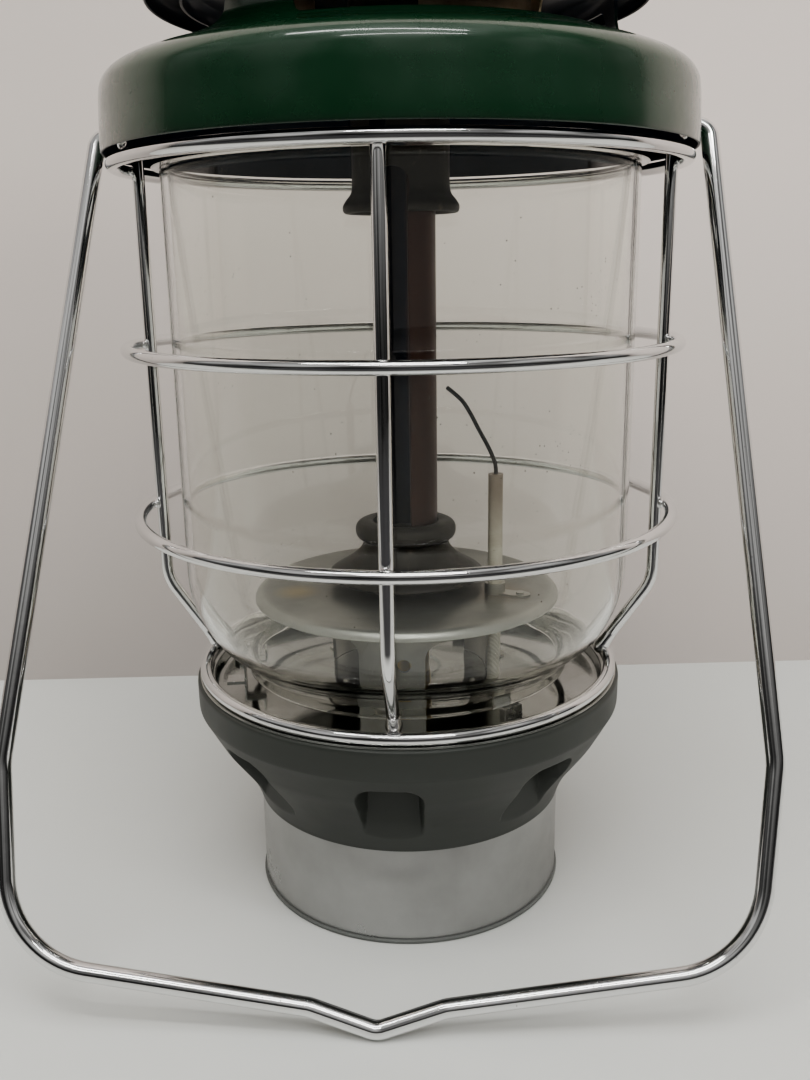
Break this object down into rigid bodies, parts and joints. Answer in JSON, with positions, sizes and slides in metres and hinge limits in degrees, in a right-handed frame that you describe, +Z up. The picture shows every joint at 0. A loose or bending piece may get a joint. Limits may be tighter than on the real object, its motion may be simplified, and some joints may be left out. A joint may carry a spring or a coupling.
{
  "type": "camping lantern",
  "caption": "Cartridge gas lantern with a flared base, clear glass globe in a wire guard, tube-type burner, enamelled ventilator and a swing bail handle.",
  "frame": {"origin": "centre of the open foot ring, on the plane the lantern stands on", "axes": "+Z up through the burner, -Y the side the handle rests on, +X to the right when that side faces the viewer; the handle pivots along X and the valve knob points to +Y"},
  "size_m": [0.2106, 0.1726, 0.2871],
  "materials": {
    "foot_edging": "dark grey, slightly scuffed",
    "silver_band": "satin",
    "skirt_plastic": "matt dark grey",
    "bright_pan": "polished, lightly scratched",
    "plate_steel": "zinc plated",
    "screw_steel": "zinc plated",
    "valve_alloy": "cast",
    "brass": "turned",
    "black_rubber": "black",
    "black_plastic": "ribbed black",
    "button_plastic": "red",
    "spring_steel": "bright",
    "lead_sleeve": "glass-fibre sleeving, off-white",
    "ceramic": "glazed ceramic, tan",
    "burnt_wire": "heat-blackened",
    "stand_steel": "satin, lightly marked",
    "shield_steel": "satin with a tan heat spot",
    "burner_dark": "heat-darkened enamel",
    "column_dark": "heat-blued, brown at the edges",
    "clear_glass": "clear, a few specks",
    "chromed_wire": "bright",
    "green_enamel": "glossy dark green, dark blue inside",
    "baffle_steel": "heat-tinted tan",
    "chromed_nut": "polished"
  },
  "bodies": {
    "base": {"foot_ring": "foot_edging", "label_band": "silver_band", "skirt": "skirt_plastic", "base_pan": "bright_pan", "mounting_plate": "plate_steel", "pan_screws": "screw_steel", "valve_bracket": "plate_steel", "bracket_screws": "screw_steel", "valve_body": "valve_alloy", "valve_locknut": "brass", "inlet_seal": "black_rubber", "depressor_pin": "brass", "gas_jet": "brass", "igniter_body": "black_plastic", "igniter_spring": "spring_steel", "igniter_lead": "lead_sleeve", "electrode_insulator": "ceramic", "electrode_wire": "burnt_wire", "electrode_clip": "stand_steel", "burner_stand": "stand_steel", "stand_rivets": "screw_steel", "heat_shield": "shield_steel", "mixing_tube": "brass", "burner_cone": "burner_dark", "burner_collar": "burner_dark", "burner_column": "column_dark", "burner_cap": "burner_dark", "top_stud": "screw_steel", "globe_clips": "spring_steel", "guard_rings": "chromed_wire", "guard_base_ring": "chromed_wire", "guard_uprights": "chromed_wire"},
    "stem_seal": {"valve_stem_seal": "black_rubber"},
    "control": {"valve_stem": "brass", "valve_knob": "black_plastic", "knob_screw": "screw_steel"},
    "igniter_button": {"igniter_button": "button_plastic"},
    "globe": {"globe": "clear_glass"},
    "ventilator": {"ventilator_hood": "green_enamel", "ventilator_cap": "green_enamel", "heat_baffle": "baffle_steel"},
    "nut_washer": {"nut_washer": "chromed_nut"},
    "ball_nut": {"ball_nut": "chromed_nut"},
    "bail": {"bail": "chromed_wire"}
  },
  "joints": [
    {"name": "bail_swing", "type": "hinge", "parent": "ventilator", "child": "bail", "pos_m": [0, 0, 0.2303], "axis": [-1, 0, 0], "range_deg": [0, 317.88]},
    {"name": "ventilator_lift", "type": "slide", "parent": "base", "child": "ventilator", "axis": [0, 0, 1], "range_m": [0, 0.42]},
    {"name": "globe_lift", "type": "slide", "parent": "base", "child": "globe", "axis": [0, 0, 1], "range_m": [0, 0.21]},
    {"name": "nut_travel", "type": "slide", "parent": "ventilator", "child": "nut_washer", "axis": [0, 0, 1], "range_m": [0, 0.00501]},
    {"name": "nut_turn", "type": "hinge", "parent": "nut_washer", "child": "ball_nut", "pos_m": [0, 0, 0.275], "axis": [0, 0, 1], "range_deg": [0, 1800]},
    {"name": "stem_travel", "type": "slide", "parent": "base", "child": "stem_seal", "axis": [0, 1, 0], "range_m": [0, 0.0012]},
    {"name": "knob_turn", "type": "hinge", "parent": "stem_seal", "child": "control", "pos_m": [0, 0.07, 0.04], "axis": [0, 1, 0], "range_deg": [0, 540]},
    {"name": "igniter_press", "type": "slide", "parent": "base", "child": "igniter_button", "axis": [-0.7455, -0.6665, 0], "range_m": [0, 0.005], "stiffness_N_per_m": 400, "springref_m": -0.003, "deforming": ["igniter_spring"]}
  ],
  "couplings": [
    {"joint": "ventilator_lift", "follows": "globe_lift", "ratio": 2},
    {"joint": "nut_travel", "follows": "nut_turn", "m_per_rad": 0.00015915},
    {"joint": "stem_travel", "follows": "knob_turn", "m_per_rad": 0.00011937}
  ]
}
